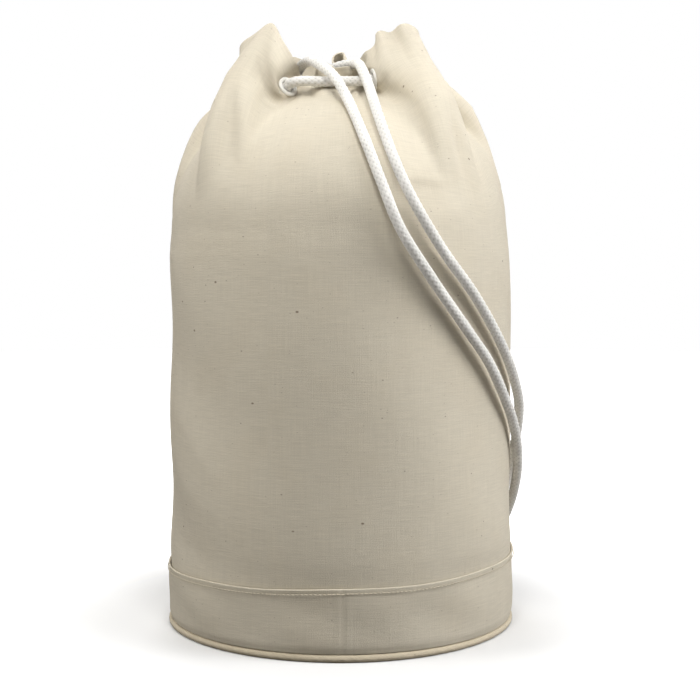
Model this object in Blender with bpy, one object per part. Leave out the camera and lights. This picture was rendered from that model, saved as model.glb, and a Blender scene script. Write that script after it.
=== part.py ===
"""Drawstring laundry bag: an upright canvas duffle whose mouth is gathered on a braided cord.

Metres, +Z up.  The origin is the centre of the base, on the surface that the bag stands on.
-Y is the front of the bag and +X its right side.
"""
import math

import bmesh
import bpy
import numpy as np
from mathutils import Matrix, Vector

# ---- driving dimensions (metres) -------------------------------------------------------
GAP = 0.0003                # clearance between touching pieces
BODY_R = 0.125              # outside radius at the foot of the filled bag
WAIST_R = 0.1229            # and above the middle, where the fill presses less
WAIST_Z = 0.200
CLOTH = 0.0014              # canvas thickness, felled seams included
CLOTH_HEIGHT = 0.450        # height of the canvas tube when it is pulled out straight
SHOULDER_Z = 0.300          # the tube narrows above this height
STRAIGHT_TO = 0.260         # and is a plain cylinder up to this one

PIPING_R = 0.0026           # outside radius of the piping roll
PIPING_CORE_R = 0.0016
BAND_TOP = 0.049            # top edge of the lower band
BAND_OUT = 0.0016           # how far the band stands off the bag's wall
BASE_THICK = 0.0016
SEAM_RISE = 0.012           # seam allowance turned up inside the wall
WALL_BOTTOM = 2 * PIPING_R + GAP

EYELET_DROP = 0.025         # eyelet centre below the rim, along the cloth
EYELET_COUNT = 8
EYELET_BORE_R = 0.0045
EYELET_BARREL_R = 0.0052
EYELET_FLANGE_R = 0.0076
EYELET_FLANGE_H = 0.0011
EDGE_FALL = 0.0004          # how far the edges of a flange fall below its crown
WASHER_THICK = 0.0008
FLAT_PATCH_R = 0.0142       # the cloth is flat this far around each eyelet
FLAT_FADE_R = 0.027

CORD_R = 0.0035             # drawcord radius
KNOT_R = 0.0078

STRAP_AZIMUTH = 38.0        # where the base loop is sewn, degrees from +X towards +Y
STRAP_LENGTH = 0.036
STRAP_WIDTH = 0.020
STRAP_THICK = 0.0016
STRAP_Z = 0.030
STRAP_TAB = 0.005           # length of each sewn end
STRAP_STAND = 0.0098        # clear height under the loop for the two cords
STRAP_LEAN = 0.0008         # the sides lean in this much halfway up
STRAP_CORNER = 0.003        # and this much at the corner

ROUND_STEPS = 60            # facets round the base and the piping
BAND_STEPS = 80             # and round the band
BAND_FOLD = 0.0006          # rounding of the band's folded top edge
CORE_SIDES = 8              # facets round the piping's core
COVER_SIDES = 9             # and round its cover
SLIT_FACES = 135            # the cover is open towards the seam, degrees round its roll
SLIT_WIDTH = 24
STRAP_SIDES = 6             # facets across the loop
EYELET_SIDES = 20           # facets round an eyelet
ROLL_UNDER = 0.0009         # how far the eyelet's barrel rolls out under the cloth

# ---- the gathered mouth (millimetres) --------------------------------------------------
# Eyelet centres with the direction that their outer face looks in (azimuth in degrees),
# and the rim's place straight above each.  Eyelet 1 is front left, and they run
# anticlockwise seen from above.
EYELETS = (
    ((-37, -37, 386), -50, (-28, -20, 400)),
    ((24, -31, 392), 192, (18, -21, 414)),
    ((46, -6, 390), 68, (49, 2, 413)),
    ((46, 24, 388), -40, (50, 28, 411)),
    ((20, 42, 388), 145, (22, 47, 411)),
    ((-12, 44, 388), 42, (-13, 49, 411)),
    ((-48, 28, 388), 200, (-50, 33, 411)),
    ((-57, -4, 388), 128, (-58, 0, 412)),
)
# Halfway between two eyelets the cloth stands out as an ear where the cord runs inside it,
# and folds inwards where the cord runs outside.  Each row: a point on the shoulder's slope,
# one at the eyelets' level and one on the rim.
BETWEEN = (
    ((-2, -86, 357), (-5, -28, 382), (-4, -12, 395)),       # 1-2 front fold
    ((89, -62, 357), (61, -31, 409), (48, -22, 432)),       # 2-3 right front ear
    ((86, 6, 352), (32, 9, 380), (28, 9, 399)),             # 3-4 right fold
    ((80, 70, 352), (64, 54, 402), (54, 50, 426)),          # 4-5 right back ear
    ((3, 90, 354), (5, 37, 383), (5, 33, 402)),             # 5-6 back fold
    ((-82, 72, 352), (-70, 52, 398), (-74, 42, 421)),       # 6-7 left back ear
    ((-97, 4, 348), (-44, 12, 381), (-42, 12, 401)),       # 7-8 left fold
    ((-97, -60, 360), (-71, -30, 411), (-52, -22, 433)),    # 8-1 left front ear
)
SLOPE_OUT = 0.012           # how far the slope under an eyelet bulges off the straight line

MM = 0.001

# ---- the cord's route (millimetres) ----------------------------------------------------
# One rope: knot a, up strand a, over the mouth, in and out of eyelets 7 8 1 2 3 4 5 6, back
# over the mouth and down strand b to knot b.  Both strands fall across the front to the
# loop low on the right side, at the back.
OVER_MOUTH_A = ((-4, -59, 391), (-12, -47, 399), (-20, -31, 404.5), (-27, -15, 404),
                (-32, 0, 398), (-31, 14, 395), (-34, 27, 391))
OVER_MOUTH_B = ((-20, 30, 389), (-17, 13, 394), (-8, -4, 401), (4, -15, 404),
                (12, -25, 403.5), (15, -39, 398.5), (19, -54, 387))
STRAND_A = ((4, -71, 377), (16, -107, 347), (28, -122, 315), (39, -125, 288), (60, -116, 255),
            (87, -96, 217), (101, -82, 197), (113, -64, 173), (122, -44, 152), (128, -22, 129),
            (130, -4, 108), (128, 24, 80), (121, 50, 53), (114.5, 65, 35))
STRAND_B = ((26, -94, 361), (35, -113, 334), (46, -120, 309), (67, -113, 274), (90, -95, 243),
            (106, -76, 217), (117, -57, 196), (125, -36, 176), (130, -14, 157), (130, 8, 131),
            (126.5, 32, 97), (119, 54, 67), (114, 66, 47))
TAIL_A = ((110.4, 71.7, 28.5), (103.7, 81, 26), (96.5, 90, 25))
TAIL_B = ((110.4, 71.7, 38), (103.7, 81, 34.3), (96.5, 90, 34.5))
KNOT_A = (86.5, 103.1, 21)
KNOT_B = (86.5, 103.1, 38)
EYELET_STUB = 6.0           # the rope runs square through an eyelet this far each way
BETWEEN_RUNS = {1: (-8, -46, 389), 3: (54, 9, 388), 5: (4, 52, 388), 7: (-60, 13, 388)}
CUT_TOP = 2                 # the shoulder strands part from the neck at this route point
CUT_LOW = 2                 # and from the tails at this one, counted from the loop
CORD_STEP = 0.021           # largest spacing of the rope's points, three diameters


def clear_scene():
    for obj in list(bpy.data.objects):
        bpy.data.objects.remove(obj, do_unlink=True)


def material(name, colour, roughness):
    """A plain Principled material, made once for each name."""
    found = bpy.data.materials.get(name)
    if found:
        return found
    mat = bpy.data.materials.new(name)
    mat.use_nodes = True
    shader = mat.node_tree.nodes["Principled BSDF"]
    shader.inputs["Base Color"].default_value = (*colour, 1.0)
    shader.inputs["Roughness"].default_value = roughness
    return mat


def canvas():
    return material("canvas", (0.78, 0.73, 0.64), 0.9)


def cord_cotton():
    return material("cord_cotton", (0.86, 0.85, 0.82), 0.85)


def eyelet_enamel():
    return material("eyelet_enamel", (0.88, 0.87, 0.84), 0.35)


def new_object(name, mesh, mat):
    obj = bpy.data.objects.new(name, mesh)
    bpy.context.scene.collection.objects.link(obj)
    if not mesh.materials:
        mesh.materials.append(mat)
    return obj


def grid_mesh(name, rings, wrap=True, first_cap=None, last_cap=None):
    """Quads between neighbouring rings of points, each ring closed on itself.  The last ring
    joins the first when it wraps; otherwise the caps' faces, lists of places in the first
    and last ring, close the two ends."""
    bm = bmesh.new()
    grid = [[bm.verts.new(p) for p in ring] for ring in rings]
    size = len(rings[0])
    for lower, upper in zip(grid, grid[1:] + grid[:1] if wrap else grid[1:]):
        for i in range(size):
            k = (i + 1) % size
            bm.faces.new((lower[i], lower[k], upper[k], upper[i]))
    for ring, cap in ((grid[0], first_cap), (grid[-1], last_cap)):
        for face in cap or ():
            bm.faces.new([ring[i] for i in face])
    bmesh.ops.recalc_face_normals(bm, faces=bm.faces)
    mesh = bpy.data.meshes.new(name)
    bm.to_mesh(mesh)
    bm.free()
    return mesh


def ring_mesh(name, profile, steps):
    """Turn a closed (radius, z) profile about Z into a ring."""
    rings = []
    for i in range(steps):
        turn = 2 * math.pi * i / steps
        c, s = math.cos(turn), math.sin(turn)
        rings.append([(r * c, r * s, z) for r, z in profile])
    mesh = grid_mesh(name, rings)
    mesh.shade_smooth()
    mesh.set_sharp_from_angle(angle=math.radians(40))
    return mesh


# ---- the canvas tube -------------------------------------------------------------------
def hermite(p0, p1, m0, m1, t):
    a = 2 * t ** 3 - 3 * t ** 2 + 1
    b = t ** 3 - 2 * t ** 2 + t
    c = -2 * t ** 3 + 3 * t ** 2
    d = t ** 3 - t ** 2
    return p0 * a + m0 * b + p1 * c + m1 * d


def wall_radius(height):
    """Outside radius of the straight part of the bag."""
    t = min(1.0, max(0.0, (height - BAND_TOP) / (WAIST_Z - BAND_TOP)))
    return BODY_R + (WAIST_R - BODY_R) * t * t * (3 - 2 * t)


def key_count():
    return 2 * EYELET_COUNT


def key_angle(i):
    """Cloth angle of key line i: even lines pass through eyelets, odd ones lie between."""
    return math.radians(-90 - 180 / EYELET_COUNT + i * 180 / EYELET_COUNT)


def eyelet_normal(k):
    turn = math.radians(EYELETS[k][1])
    return Vector((math.cos(turn), math.sin(turn), 0.0))


def mouth_keys():
    """Key points and round-the-bag slopes at four cloth heights: shoulder, slope, eyelets, rim."""
    n = key_count()
    half_span = 2 * math.pi * BODY_R / n
    shoulder, slope, level, rim = [], [], [], []
    for i in range(n):
        turn = key_angle(i)
        out = Vector((math.cos(turn), math.sin(turn), 0.0))
        base = out * WAIST_R + Vector((0, 0, SHOULDER_Z))
        shoulder.append(base)
        if i % 2 == 0:
            centre, _, top = EYELETS[i // 2]
            at = Vector(centre) * MM
            slope.append(base.lerp(at, 0.53) + (out + Vector((0, 0, 0.8))) * SLOPE_OUT)
            level.append(at)
            rim.append(Vector(top) * MM)
        else:
            mid, tip, top = BETWEEN[i // 2]
            slope.append(Vector(mid) * MM)
            level.append(Vector(tip) * MM)
            rim.append(Vector(top) * MM)
    tangents = []
    for row, points in enumerate((shoulder, slope, level, rim)):
        line = []
        for i in range(n):
            turn = key_angle(i)
            around = Vector((-math.sin(turn), math.cos(turn), 0.0)) * half_span
            chord = (points[(i + 1) % n] - points[i - 1]) * 0.5
            if row == 0:
                line.append(around)
            elif row == 1:
                line.append(around.lerp(chord, 0.5))
            elif i % 2 == 0:
                nrm = eyelet_normal(i // 2)
                line.append(Vector((-nrm.y, nrm.x, 0.0)) * half_span * 0.75)
            else:
                line.append(chord.normalized() * half_span * 0.75)
        tangents.append(line)
    return (shoulder, slope, level, rim), tangents


def level_heights():
    return (SHOULDER_Z, 0.365, CLOTH_HEIGHT - EYELET_DROP, CLOTH_HEIGHT)


KEYS, KEY_TANGENTS = mouth_keys()


def ring_point(row, u):
    """Point of key row at cloth angle u, counted in key lines."""
    n = key_count()
    i = int(math.floor(u)) % n
    t = u - math.floor(u)
    j = (i + 1) % n
    pts, tan = KEYS[row], KEY_TANGENTS[row]
    return hermite(pts[i], pts[j], tan[i], tan[j], t)


def near_eyelet(u, height):
    """Nearest eyelet, the place (du, dv) beside it along the cloth, and how flat it is there."""
    k = int(round(u / 2)) % EYELET_COUNT
    du = (u - 2 * round(u / 2)) * 2 * math.pi * BODY_R / key_count()
    dv = height - (CLOTH_HEIGHT - EYELET_DROP)
    far = math.hypot(du, dv)
    flat = min(1.0, max(0.0, (FLAT_FADE_R - far) / (FLAT_FADE_R - FLAT_PATCH_R)))
    return k, du, dv, flat * flat * (3 - 2 * flat)


def flatten_to_eyelets(point, u, height):
    """Press the cloth flat around the nearest eyelet."""
    k, du, dv, blend = near_eyelet(u, height)
    if blend == 0.0:
        return point
    centre = Vector(EYELETS[k][0]) * MM
    nrm = eyelet_normal(k)
    side = Vector((-nrm.y, nrm.x, 0.0))
    flat = centre + side * du + eyelet_up(k) * dv
    return point.lerp(flat, blend)


def eyelet_up(k):
    """Direction of the cloth from an eyelet's centre to the rim, square to its face."""
    nrm = eyelet_normal(k)
    rise = Vector(EYELETS[k][2]) - Vector(EYELETS[k][0])
    side = Vector((-nrm.y, nrm.x, 0.0))
    rise -= side * rise.dot(side)
    return rise.normalized()


def eyelet_axis(k):
    """Outward axis of the eyelet, square to the flat patch."""
    nrm = eyelet_normal(k)
    side = Vector((-nrm.y, nrm.x, 0.0))
    return side.cross(eyelet_up(k)).normalized()


def cloth_point(u, height):
    """Point of the canvas's outer face: u in key lines round the bag, height up the cloth."""
    turn = key_angle(0) + 2 * math.pi * u / key_count()
    if height <= STRAIGHT_TO:
        radius = wall_radius(height)
        return Vector((radius * math.cos(turn), radius * math.sin(turn), height))
    low = Vector((WAIST_R * math.cos(turn), WAIST_R * math.sin(turn), STRAIGHT_TO))
    points = [low] + [ring_point(row, u) for row in range(4)]
    marks = [STRAIGHT_TO, *level_heights()]
    runs = [(b - a) / (v - w) for a, b, w, v in zip(points, points[1:], marks, marks[1:])]
    slopes = [Vector((0, 0, 1.0)), runs[0].lerp(runs[1], 0.25)]
    slopes += [runs[1].lerp(runs[2], 0.5), runs[2].lerp(runs[3], 0.5), runs[3]]
    for i in range(4):
        if height <= marks[i + 1] + 1e-9:
            span = marks[i + 1] - marks[i]
            t = (height - marks[i]) / span
            point = hermite(points[i], points[i + 1], slopes[i] * span, slopes[i + 1] * span, t)
            return flatten_to_eyelets(point, u, height)
    return flatten_to_eyelets(points[4], u, height)


# The tube's mesh: columns between two eyelets, counted in key lines, set close beside the
# eyelets and clear of their holes; and rows up the cloth, closer where it gathers.
COLUMN_OFFSETS = (0.0, 0.205, 0.46, 0.73, 1.0, 1.27, 1.54, 1.795)
ROW_HEIGHTS = (WALL_BOTTOM, 0.049, 0.10, 0.16, 0.22, 0.26, 0.282, 0.300, 0.318, 0.335, 0.350,
               0.365, 0.380, 0.393, 0.404, 0.4155, 0.425, 0.4345, 0.442, 0.450)


def bag_shell_mesh():
    """Outer face from the rows and columns, and an inner face one cloth thickness inside."""
    columns = [2 * k + off for k in range(EYELET_COUNT) for off in COLUMN_OFFSETS]
    outer = [[cloth_point(u, h) for u in columns] for h in ROW_HEIGHTS]
    size = len(columns)
    inner = []
    for j, ring in enumerate(outer):
        line = []
        for i, p in enumerate(ring):
            along = ring[(i + 1) % size] - ring[i - 1]
            up = outer[min(j + 1, len(outer) - 1)][i] - outer[max(j - 1, 0)][i]
            out = along.cross(up).normalized()
            k, _, _, blend = near_eyelet(columns[i], ROW_HEIGHTS[j])
            out = out.lerp(eyelet_axis(k), blend).normalized()
            line.append(p - out * CLOTH)
        inner.append(line)
    rings = outer + inner[::-1]
    mesh = grid_mesh("bag_body", rings)
    mesh.shade_smooth()
    return mesh


def cut_with(obj, cutter):
    """Take the cutter's shape out of an object and keep the cutter as a hidden guide."""
    cutter.hide_render = True
    cutter.display_type = "WIRE"
    cut = obj.modifiers.new("cut_" + cutter.name, "BOOLEAN")
    cut.operation = "DIFFERENCE"
    cut.solver = "EXACT"
    cut.object = cutter


def frame_at(centre, axis):
    """Matrix whose +Z looks along the axis."""
    turn = axis.to_track_quat("Z", "Y").to_matrix().to_4x4()
    return Matrix.Translation(centre) @ turn


def build_bag_body():
    """The canvas tube with its eight eyelet holes."""
    body = new_object("bag_body", bag_shell_mesh(), canvas())
    for k in range(EYELET_COUNT):
        cutter_mesh = bpy.data.meshes.new("eyelet_hole")
        bm = bmesh.new()
        bmesh.ops.create_cone(bm, cap_ends=True, segments=EYELET_SIDES, depth=8 * CLOTH,
                              radius1=EYELET_BARREL_R + GAP, radius2=EYELET_BARREL_R + GAP)
        bm.to_mesh(cutter_mesh)
        bm.free()
        cutter = new_object(f"hole_guide_{k + 1}", cutter_mesh, canvas())
        centre = Vector(EYELETS[k][0]) * MM
        cutter.matrix_world = frame_at(centre, eyelet_axis(k))
        cut_with(body, cutter)


def eyelet_profile():
    """Rolled flange and barrel of an eyelet, as (radius, z), z = 0 on the cloth's face."""
    inner, barrel, flange = EYELET_BORE_R, EYELET_BARREL_R, EYELET_FLANGE_R
    top, foot = GAP + EYELET_FLANGE_H, -CLOTH - GAP - ROLL_UNDER
    crown = (inner + flange) / 2
    return [(inner, foot), (barrel, foot), (barrel, GAP), (flange, GAP),
            (flange - EDGE_FALL, top - EDGE_FALL), (crown, top), (inner, top - EDGE_FALL)]


def washer_profile():
    """Flat ring behind the cloth, its outer edge rounded."""
    inner, flange = EYELET_BARREL_R + GAP, EYELET_FLANGE_R
    top, foot = -CLOTH - GAP, -CLOTH - GAP - WASHER_THICK
    return [(inner, foot), (flange - EDGE_FALL, foot), (flange, top), (inner, top)]


def build_eyelets():
    """A flanged eyelet and its washer at each of the eight places round the mouth."""
    eyelet = ring_mesh("eyelet", eyelet_profile(), EYELET_SIDES)
    washer = ring_mesh("eyelet_washer", washer_profile(), EYELET_SIDES)
    for k in range(EYELET_COUNT):
        place = frame_at(Vector(EYELETS[k][0]) * MM, eyelet_axis(k))
        new_object(f"eyelet_{k + 1}", eyelet, eyelet_enamel()).matrix_world = place
        new_object(f"eyelet_washer_{k + 1}", washer, eyelet_enamel()).matrix_world = place


# ---- base, piping and band ---------------------------------------------------------------
def band_radius():
    return BODY_R + BAND_OUT


def piping_centre():
    return band_radius() - PIPING_R, PIPING_R


def build_base():
    """Round canvas panel whose seam allowance turns up inside the wall."""
    rim = piping_centre()[0] - PIPING_R - GAP
    profile = [(rim - BASE_THICK, BASE_THICK), (rim - BASE_THICK, SEAM_RISE),
               (rim, SEAM_RISE), (rim, 0.0)]
    turns = [2 * math.pi * i / ROUND_STEPS for i in range(ROUND_STEPS)]
    rings = [[(r * math.cos(t), r * math.sin(t), z) for t in turns] for r, z in profile]
    disc = [range(ROUND_STEPS)]
    mesh = grid_mesh("base_panel", rings, wrap=False, first_cap=disc, last_cap=disc)
    new_object("base_panel", mesh, canvas())


def build_piping():
    """A cotton core inside a bias strip whose edges leave a slit towards the seam."""
    radius, height = piping_centre()
    core = [(radius + PIPING_CORE_R * math.cos(a), height + PIPING_CORE_R * math.sin(a))
            for a in (2 * math.pi * i / CORE_SIDES for i in range(CORE_SIDES))]
    new_object("piping_core", ring_mesh("piping_core", core, ROUND_STEPS), cord_cotton())
    first = SLIT_FACES + SLIT_WIDTH / 2
    spread = [math.radians(first + (360 - SLIT_WIDTH) * i / COVER_SIDES)
              for i in range(COVER_SIDES + 1)]
    inside = PIPING_CORE_R + GAP
    cover = [(radius + PIPING_R * math.cos(a), height + PIPING_R * math.sin(a)) for a in spread]
    cover += [(radius + inside * math.cos(a), height + inside * math.sin(a))
              for a in reversed(spread)]
    new_object("piping_cover", ring_mesh("piping_cover", cover, ROUND_STEPS), canvas())


def build_band():
    """Second layer of canvas round the foot of the bag, with its top edge folded in."""
    inner, outer = BODY_R + GAP, band_radius()
    profile = [(inner, WALL_BOTTOM), (outer, WALL_BOTTOM), (outer, BAND_TOP - BAND_FOLD),
               (outer - BAND_FOLD, BAND_TOP), (inner, BAND_TOP)]
    new_object("lower_band", ring_mesh("lower_band", profile, BAND_STEPS), canvas())


def strap_line():
    """Inner face of the loop as (height, distance off the band): sewn tab, rise, long side."""
    half, foot = STRAP_LENGTH / 2, STRAP_LENGTH / 2 - STRAP_TAB
    lower = [(-half, 0.0), (-foot, 0.0), (-foot + STRAP_LEAN, STRAP_STAND / 2),
             (-foot + STRAP_CORNER, STRAP_STAND)]
    return lower + [(-z, off) for z, off in reversed(lower)]


def build_strap_loop():
    """Canvas tab sewn to the band at its top and foot, standing off between them."""
    line = strap_line()
    inner = [(STRAP_Z + z, band_radius() + GAP + off) for z, off in line]
    outer = []
    for i, (z, radius) in enumerate(inner):
        before, after = inner[max(i - 1, 0)], inner[min(i + 1, len(inner) - 1)]
        run = Vector((after[0] - before[0], after[1] - before[1])).normalized()
        outer.append((z - run.y * STRAP_THICK, radius + run.x * STRAP_THICK))
    outline = inner + outer[::-1]
    middle, spread = math.radians(STRAP_AZIMUTH), STRAP_WIDTH / BODY_R
    turns = [middle + (i / STRAP_SIDES - 0.5) * spread for i in range(STRAP_SIDES + 1)]
    rings = [[(r * math.cos(t), r * math.sin(t), z) for z, r in outline] for t in turns]
    size = len(outline)
    end = [(i, i + 1, size - 2 - i, size - 1 - i) for i in range(len(line) - 1)]
    mesh = grid_mesh("strap_loop", rings, wrap=False, first_cap=end, last_cap=end)
    new_object("strap_loop", mesh, canvas())


# ---- the rope ----------------------------------------------------------------------------
def smooth_route(points, step=CORD_STEP):
    """A centripetal Catmull-Rom curve through the given points, each stretch between two of
    them cut into equal parts no longer than the step.  Returns the curve's points and, for
    each given point, its place among them."""
    pts = [Vector(p) * MM for p in points]
    pts = [pts[0] * 2 - pts[1]] + pts + [pts[-1] * 2 - pts[-2]]
    out, places = [], []
    for p0, p1, p2, p3 in zip(pts, pts[1:], pts[2:], pts[3:]):
        t0 = 0.0
        t1 = t0 + (p1 - p0).length ** 0.5
        t2 = t1 + (p2 - p1).length ** 0.5
        t3 = t2 + (p3 - p2).length ** 0.5
        parts = max(1, math.ceil((p2 - p1).length / step))
        places.append(len(out))
        for i in range(parts):
            t = t1 + (t2 - t1) * i / parts
            a1 = p0.lerp(p1, (t - t0) / (t1 - t0))
            a2 = p1.lerp(p2, (t - t1) / (t2 - t1))
            a3 = p2.lerp(p3, (t - t2) / (t3 - t2))
            b1 = a1.lerp(a2, (t - t0) / (t2 - t0))
            b2 = a2.lerp(a3, (t - t1) / (t3 - t1))
            out.append(b1.lerp(b2, (t - t1) / (t2 - t1)))
    places.append(len(out))
    out.append(pts[-2])
    return out, places


def lacing_route():
    """Route through the eyelets, from behind eyelet 7 to behind eyelet 6."""
    route = []
    order = [6, 7, 0, 1, 2, 3, 4, 5]
    for step, k in enumerate(order):
        centre = Vector(EYELETS[k][0])
        stub = eyelet_axis(k) * EYELET_STUB
        outwards = step % 2 == 0
        ends = (centre - stub, centre + stub) if outwards else (centre + stub, centre - stub)
        route.extend(tuple(p) for p in ends)
        if outwards:
            route.append(BETWEEN_RUNS[k + 1])
    return route


def rope(name, points):
    curve = bpy.data.curves.new(name, "CURVE")
    curve.dimensions = "3D"
    curve.bevel_depth = CORD_R
    curve.bevel_resolution = 2
    curve.use_fill_caps = True
    spline = curve.splines.new("POLY")
    spline.points.add(len(points) - 1)
    for point, co in zip(spline.points, points):
        point.co = (*co, 1.0)
    spline.use_smooth = True
    curve.materials.append(cord_cotton())
    obj = bpy.data.objects.new(name, curve)
    bpy.context.scene.collection.objects.link(obj)


def knot_side(tail, knot):
    """Where the rope meets its knot, in millimetres."""
    centre, last = Vector(knot), Vector(tail[-1])
    return tuple(centre + (last - centre).normalized() * (KNOT_R + GAP) / MM)


def rope_route():
    """The whole rope's route from knot a to knot b, and the four places where it is cut."""
    strand_a = [knot_side(TAIL_A, KNOT_A), *TAIL_A[::-1], *STRAND_A[::-1]]
    strand_b = [*STRAND_B, *TAIL_B, knot_side(TAIL_B, KNOT_B)]
    neck = [*OVER_MOUTH_A, *lacing_route(), *OVER_MOUTH_B]
    route = [*strand_a, *neck, *strand_b]
    low_a = 1 + len(TAIL_A) + CUT_LOW
    top_a = len(strand_a) - 1 - CUT_TOP
    top_b = len(strand_a) + len(neck) + CUT_TOP
    low_b = len(route) - 2 - len(TAIL_B) - CUT_LOW
    return route, (low_a, top_a, top_b, low_b)


def build_cord():
    """The rope in five lengths that meet face to face: a tail, a shoulder strand, the cord
    round the neck, the other shoulder strand and the other tail."""
    route, cuts = rope_route()
    points, places = smooth_route(route)
    marks = [0, *(places[c] for c in cuts), len(points) - 1]
    names = ("cord_tail_a", "shoulder_cord_a", "drawcord", "shoulder_cord_b", "cord_tail_b")
    for name, first, last in zip(names, marks, marks[1:]):
        run = points[first + 1:last]
        for mark, sign in ((first, 1), (last, -1)):
            if mark in (0, len(points) - 1):
                face = [points[mark]]
            else:
                along = (points[mark + 1] - points[mark - 1]).normalized() * sign
                face = [points[mark] + along * GAP / 2, points[mark] + along * CORD_R]
            run = face + run if sign > 0 else run + face[::-1]
        rope(name, run)


def build_knots():
    """Overhand knots that stop the rope's two ends behind the loop."""
    for name, tail, centre in (("cord_knot_a", TAIL_A, KNOT_A), ("cord_knot_b", TAIL_B, KNOT_B)):
        centre = Vector(centre) * MM
        along = (centre - Vector(tail[-1]) * MM).normalized()
        bm = bmesh.new()
        bmesh.ops.create_uvsphere(bm, u_segments=16, v_segments=8, radius=KNOT_R)
        mesh = bpy.data.meshes.new(name)
        bm.to_mesh(mesh)
        bm.free()
        mesh.shade_smooth()
        knot = new_object(name, mesh, cord_cotton())
        knot.matrix_world = frame_at(centre, along)


clear_scene()
build_base()
build_piping()
build_band()
build_bag_body()
build_eyelets()
build_strap_loop()
build_cord()
build_knots()
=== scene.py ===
"""Looks for the drawstring laundry bag: relaxed canvas, braided rope, eyelets, seams, stage."""
import math

import bpy
import numpy as np
from mathutils import Matrix, Vector, kdtree


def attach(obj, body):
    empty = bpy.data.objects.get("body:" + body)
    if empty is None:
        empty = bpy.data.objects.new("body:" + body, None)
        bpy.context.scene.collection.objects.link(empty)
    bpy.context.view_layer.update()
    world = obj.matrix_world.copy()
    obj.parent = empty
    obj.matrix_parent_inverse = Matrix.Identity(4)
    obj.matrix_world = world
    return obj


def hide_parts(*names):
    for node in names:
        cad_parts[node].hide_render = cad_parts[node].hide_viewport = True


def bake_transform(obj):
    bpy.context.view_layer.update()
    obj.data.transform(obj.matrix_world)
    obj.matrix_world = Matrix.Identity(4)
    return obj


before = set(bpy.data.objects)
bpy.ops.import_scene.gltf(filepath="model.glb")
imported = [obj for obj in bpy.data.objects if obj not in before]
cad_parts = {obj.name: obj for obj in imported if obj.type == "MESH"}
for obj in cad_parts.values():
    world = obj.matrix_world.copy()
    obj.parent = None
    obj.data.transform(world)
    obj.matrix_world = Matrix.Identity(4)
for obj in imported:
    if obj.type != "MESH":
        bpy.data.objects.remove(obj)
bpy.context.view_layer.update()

MM = 0.001

# ---- the cloth's cut and its gathered places, repeated from the CAD (millimetres) ----
BODY_R, WAIST_R, WAIST_Z, BAND_TOP = 0.125, 0.1229, 0.200, 0.049
STRAIGHT_TO, SHOULDER_Z, CLOTH_HEIGHT, EYELET_DROP = 0.260, 0.300, 0.450, 0.025
EYELET_COUNT = 8
# each eyelet's middle, the angle it faces and the rim above it
EYELETS = (
    ((-37, -37, 386), -50, (-28, -20, 400)),
    ((24, -31, 392), 192, (18, -21, 414)),
    ((46, -6, 390), 68, (49, 2, 413)),
    ((46, 24, 388), -40, (50, 28, 411)),
    ((20, 42, 388), 145, (22, 47, 411)),
    ((-12, 44, 388), 42, (-13, 49, 411)),
    ((-48, 28, 388), 200, (-50, 33, 411)),
    ((-57, -4, 388), 128, (-58, 0, 412)),
)
# three points up the cloth half-way to the next eyelet, the last one on the rim
BETWEEN = (
    ((-2, -86, 357), (-5, -28, 382), (-4, -12, 395)),
    ((89, -62, 357), (61, -31, 409), (48, -22, 432)),
    ((86, 6, 352), (32, 9, 380), (28, 9, 399)),
    ((80, 70, 352), (64, 54, 402), (54, 50, 426)),
    ((3, 90, 354), (5, 37, 383), (5, 33, 402)),
    ((-82, 72, 352), (-70, 52, 398), (-74, 42, 421)),
    ((-97, 4, 348), (-44, 12, 381), (-42, 12, 401)),
    ((-97, -60, 360), (-71, -30, 411), (-52, -22, 433)),
)
SLOPE_OUT = 0.012

# ---- the sewn parts (metres) ----
CANVAS_THICK = 0.0013  # one layer of canvas
WALL_BOTTOM = 0.0055  # the wall and the band start above the piping
BAND_GAP, BAND_THICK = 0.0003, 0.0013
PIPING_R = 0.0026
PIPING_RING_R = 0.1241  # the piping's middle runs round at this radius
PIPING_JOIN = math.radians(118)
BASE_EDGE = 0.1213
BAND_R = BODY_R + BAND_GAP + BAND_THICK
FRONT_SEAM = math.radians(-89)
STITCH_PITCH, STITCH_LENGTH, STITCH_R = 0.0030, 0.0022, 0.00034
STRAP_TURN = math.radians(38)
STRAP_HALF_W, STRAP_HALF_L, STRAP_Z, STRAP_STAND = 0.010, 0.018, 0.030, 0.0100

# ---- the rope's route, repeated from the CAD (millimetres) ----
CORD_R = 0.0035  # the rope's radius, in metres
OVER_MOUTH_A = ((-4, -59, 391), (-12, -47, 399), (-20, -31, 404.5), (-27, -15, 404),
                (-32, 0, 398), (-31, 14, 395), (-34, 27, 391))
OVER_MOUTH_B = ((-20, 30, 389), (-17, 13, 394), (-8, -4, 401), (4, -15, 404),
                (12, -25, 403.5), (15, -39, 398.5), (19, -54, 387))
STRAND_A = ((4, -71, 377), (16, -107, 347), (28, -122, 315), (39, -125, 288), (60, -116, 255),
            (87, -96, 217), (101, -82, 197), (113, -64, 173), (122, -44, 152), (128, -22, 129),
            (130, -4, 108), (128, 24, 80), (121, 50, 53), (114.5, 65, 35))
STRAND_B = ((26, -94, 361), (35, -113, 334), (46, -120, 309), (67, -113, 274), (90, -95, 243),
            (106, -76, 217), (117, -57, 196), (125, -36, 176), (130, -14, 157), (130, 8, 131),
            (126.5, 32, 97), (119, 54, 67), (114, 66, 47))
TAIL_A = ((110.4, 71.7, 28.5), (103.7, 81, 26), (96.5, 90, 25))
TAIL_B = ((110.4, 71.7, 38), (103.7, 81, 34.3), (96.5, 90, 34.5))
KNOT_A = (86.5, 103.1, 21)
KNOT_B = (86.5, 103.1, 38)
EYELET_STUB = 6.0  # the rope runs square through an eyelet this far each way
BETWEEN_RUNS = {1: (-8, -46, 389), 3: (54, 9, 388), 5: (4, 52, 388), 7: (-60, 13, 388)}


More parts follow.
